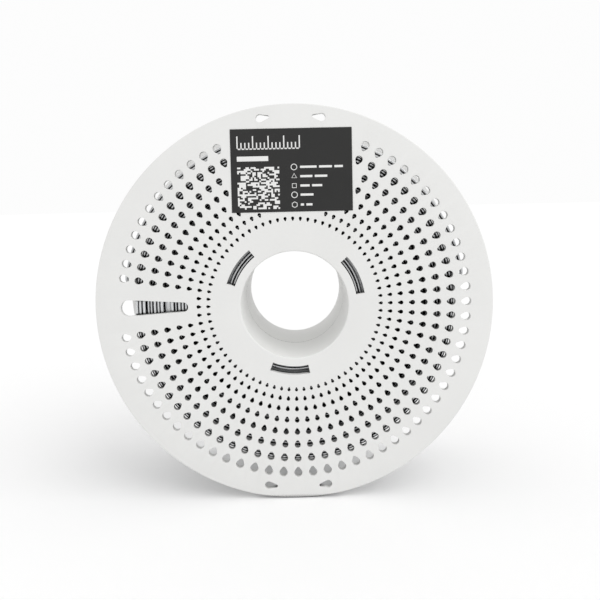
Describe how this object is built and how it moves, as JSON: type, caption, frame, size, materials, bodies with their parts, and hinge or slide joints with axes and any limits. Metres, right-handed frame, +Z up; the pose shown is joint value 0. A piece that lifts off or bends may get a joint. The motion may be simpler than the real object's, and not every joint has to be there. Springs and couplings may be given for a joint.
{
  "type": "filament spool",
  "caption": "White plastic spool of silver-grey printer filament: perforated flat flanges, a round central bore, a viewing slot and a dark label.",
  "frame": {"origin": "on the spool's axle line, half-way between the outer faces of the flanges", "axes": "+Y along the axle, away from the labelled front flange, which faces -Y; +Z up, through the label"},
  "size_m": [0.2, 0.0672, 0.2],
  "materials": {
    "moulding": "fine matte moulded surface",
    "filament": "silk sheen along the strand",
    "label": "matte printed film"
  },
  "bodies": {
    "root": {"front_half": "moulding", "rear_half": "moulding", "filament": "filament", "label": "label"}
  },
  "joints": []
}
